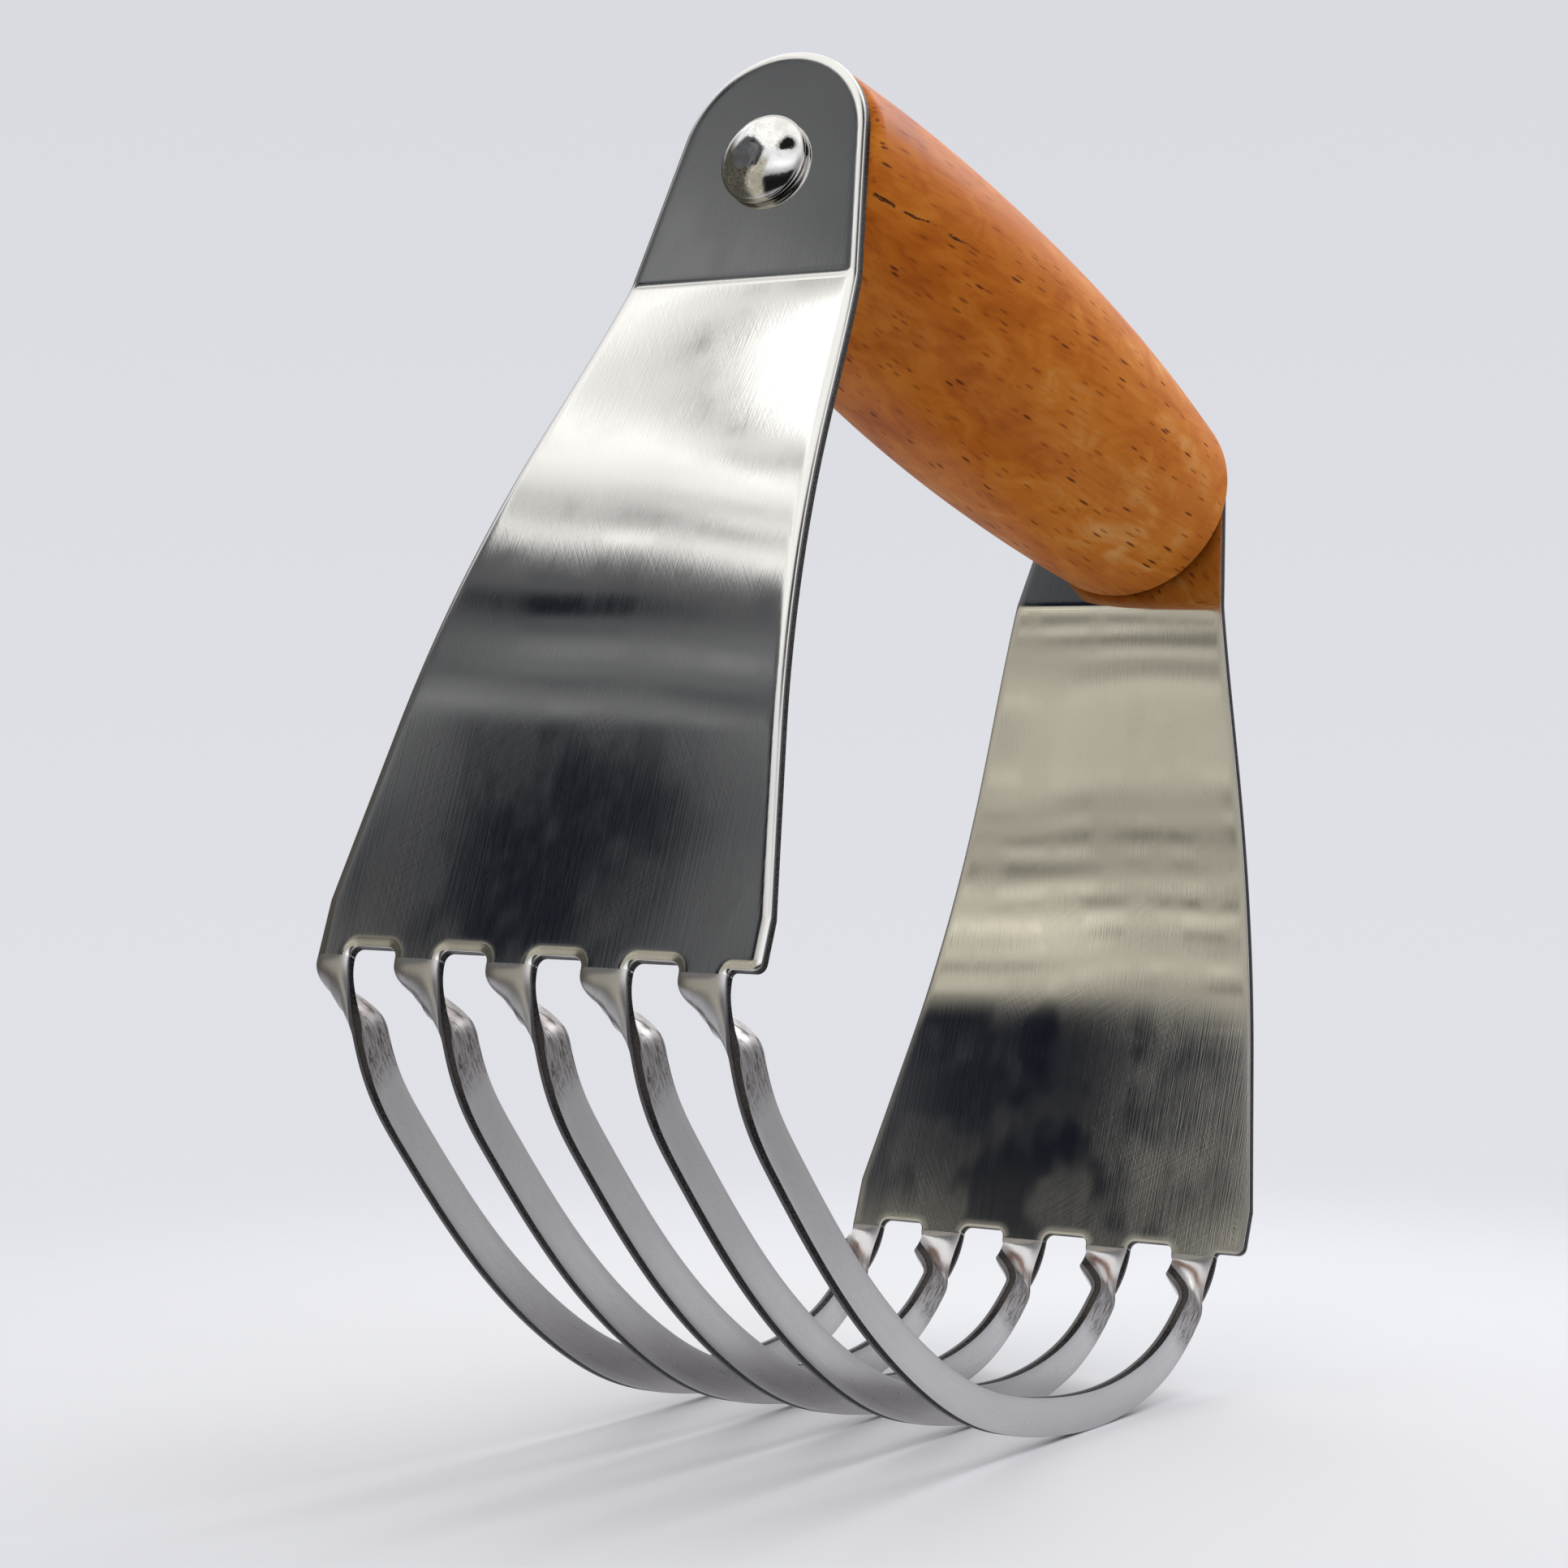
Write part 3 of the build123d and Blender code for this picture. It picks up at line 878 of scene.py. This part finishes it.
paint = board.node("ShaderNodeBsdfDiffuse", {}, {"Color": colour(210, 211, 215)})
clear = board.node("ShaderNodeBsdfTransparent")
hidden = 1 - (1 - fade) * (1 - under)
board.node_out(board.node("ShaderNodeMixShader", {}, {0: hidden, 1: paint, 2: clear}),
               "ShaderNodeOutputMaterial")
table_mesh.materials.append(table_paint)

# %% [markdown]
# ## The room that the steel mirrors
# Bright steel shows what stands around it far more than it shows itself. The room is painted
# as light by direction, in degrees round and degrees up from the table: a white ceiling
# softbox with folds in it, a dark bluish wall under its edge on one side with a few soft
# shapes, and a warm, paler band low down. The open side is pale, but nearly black below the
# table's level where the viewer stands. Each part is a level of light plus soft ovals that
# are brighter or darker. The camera itself sees a plain pale backdrop.

# %% Light by direction
world = bpy.data.worlds.new("studio")
bpy.context.scene.world = world
room = Board(world)
way = room.node("ShaderNodeTexCoord", out="Generated")


def facing(axis):
    """How far the direction points along an axis, from -1 to 1."""
    return room.node("ShaderNodeVectorMath", {"operation": "DOT_PRODUCT"}, {0: way, 1: tuple(axis)},
                     out="Value")


height = facing(UP)
up_deg = height.math("ARCSINE", height) * math.degrees(1)
round_deg = height.math("ARCTAN2", facing(-SIDE), facing(-ALONG)) * math.degrees(1) + 180


def patch(around_at, up_at, wide, tall, lean=0.0):
    """A soft oval at a direction: exp(-(across/wide)^2 - (up/tall)^2)."""
    rise = up_deg - up_at
    off = (round_deg - around_at - rise * lean) / wide
    rise = rise / tall
    return height.math("EXPONENT", 0 - (off * off + rise * rise))


def painted(level, least, ovals):
    """The level plus every oval (round, up, wide, tall, lean, amount), but never below least."""
    for around_at, up_at, wide, tall, lean, amount in ovals:
        level = level + patch(around_at, up_at, wide, tall, lean) * amount
    return level.math("MAXIMUM", level, least)


stripes_at = room.joined(round_deg * 0.06 + up_deg * 0.05, up_deg * 0.85, 7.0)
stripes = room.noise(stripes_at, detail=3.0, rough=0.6) - 0.5
spots_at = room.joined(round_deg * 0.16, up_deg * 0.75, 3.0)
spots = room.noise(spots_at, detail=4.0, rough=0.6).step(0.34, 0.66) - 0.5
print("up from the table", UP.round(3), "and", len(room.tree.nodes), "nodes so far")

# %% The softbox, the dark wall, the low warm band, and the open side
ceiling = painted(1.45 + stripes * 2.8, 0.015, (
    (110, 55.7, 3.4, 0.9, 0, 1.6), (115.5, 53.6, 3.6, 0.8, 1.0, -0.85), (108.3, 54.3, 2.6, 0.8, 1.5, -1.2),
    (118, 48.6, 8, 0.8, 0, -0.8), (222, 58, 28, 13, 0, -4.0), (122, 50.6, 6, 0.45, 0, -0.7)))
wall = painted(0.125 + stripes * 0.30, 0.004, (
    (134.5, 40.3, 3.0, 2.4, 0, 0.10), (133, 39.0, 5, 1.2, 0, 0.10), (136, 34.3, 4, 0.9, 0, 0.16),
    (131.5, 32, 2.0, 4.0, 0, 0.14), (140.5, 31, 1.6, 3.5, 0, 0.06), (127, 42.3, 2.6, 0.9, 0, -0.26),
    (136.6, 30.2, 1.9, 2.3, 0, -0.22), (146.6, 32, 3.4, 7, 0, -0.17)))
spotty = spots * (round_deg.step(120, 146) * 0.65 + 0.15)
low = painted(0.11 + round_deg.step(132, 147) * 0.50 + spotty, 0.03, (
    (148.6, 21.5, 1.3, 1.6, 0, 0.75), (149, 18, 2, 1, 0, 0.4), (152.5, 18, 1.6, 2.0, 0, -0.35),
    (149, 16, 2.0, 0.8, 0, -0.3)))
viewer_side = round_deg.step(160, 176) * round_deg.step(270, 245)
open_side = 0.44 + up_deg.step(4, 40) * 0.70 + patch(38, 28, 24, 26) * 0.9
open_side = open_side * (1 - viewer_side * up_deg.step(5, -2) * 0.97)
open_side = open_side + viewer_side * patch(212, 20, 40, 12) * 0.9

dark_side = round_deg.step(98, 112) * round_deg.step(151.3, 149.0)
warm_side = round_deg.step(56, 80) * round_deg.step(178, 165)
wall_mix = up_deg.step(26.0, 28.2) * dark_side
low_mix = warm_side * up_deg.step(40, 27)
top_mix = (up_deg + stripes).step(45.6, 47.2)


# %% Tint the parts and lay them over each other
def tinted(amount, tint):
    """A colour times an amount of light."""
    return room.node("ShaderNodeVectorMath", {"operation": "SCALE"}, {0: tint, "Scale": amount})


light = tinted(open_side, (1.0, 1.0, 1.035))
light = room.blend(low_mix, light, tinted(low, (1.0, 0.94, 0.78)))
wall_light = room.node("ShaderNodeVectorMath", {"operation": "ADD"},
                       {0: tinted(wall, (0.99, 1.0, 1.0)), 1: (0.0, 0.003, 0.012)})
light = room.blend(wall_mix, light, wall_light)
light = room.blend(top_mix, light, tinted(ceiling, (1.0, 0.995, 0.98)))
backdrop = room.blend(up_deg.step(-14, 16), colour(226, 227, 233), colour(216, 218, 223))
seen = room.node("ShaderNodeLightPath", out="Is Camera Ray")
shown = room.node("ShaderNodeBackground", {}, {0: room.blend(seen, light, backdrop), 1: 1.0})
room.node_out(shown, "ShaderNodeOutputWorld")
bpy.context.scene.view_settings.view_transform = "Standard"
print("room painted with", len(room.tree.nodes), "nodes")

# %% [markdown]
# ## One lamp behind
# The shadows on the table fall towards the camera and to its left, so the main lamp stands
# high behind the tool on the right. It is large, so the shadows are soft.

# %% The lamp
LAMP_UP, LAMP_BEHIND, LAMP_BESIDE = 0.55, 0.35, 0.30
lamp_data = bpy.data.lights.new("lamp", "AREA")
lamp_data.shape, lamp_data.size, lamp_data.energy = "DISK", 0.45, 2.0
lamp = bpy.data.objects.new("lamp", lamp_data)
ahead = -back - UP * (-back @ UP)
ahead /= np.linalg.norm(ahead)
beside = np.cross(ahead, UP)
lamp_place = touch * MM + UP * LAMP_UP + ahead * LAMP_BEHIND + beside * LAMP_BESIDE
lamp.location = lamp_place
aim = Vector(touch * MM - lamp_place)
lamp.rotation_mode = "QUATERNION"
lamp.rotation_quaternion = aim.to_track_quat("-Z", "Y")
bpy.context.scene.collection.objects.link(lamp)
print("lamp at", (lamp_place / MM).round(0))
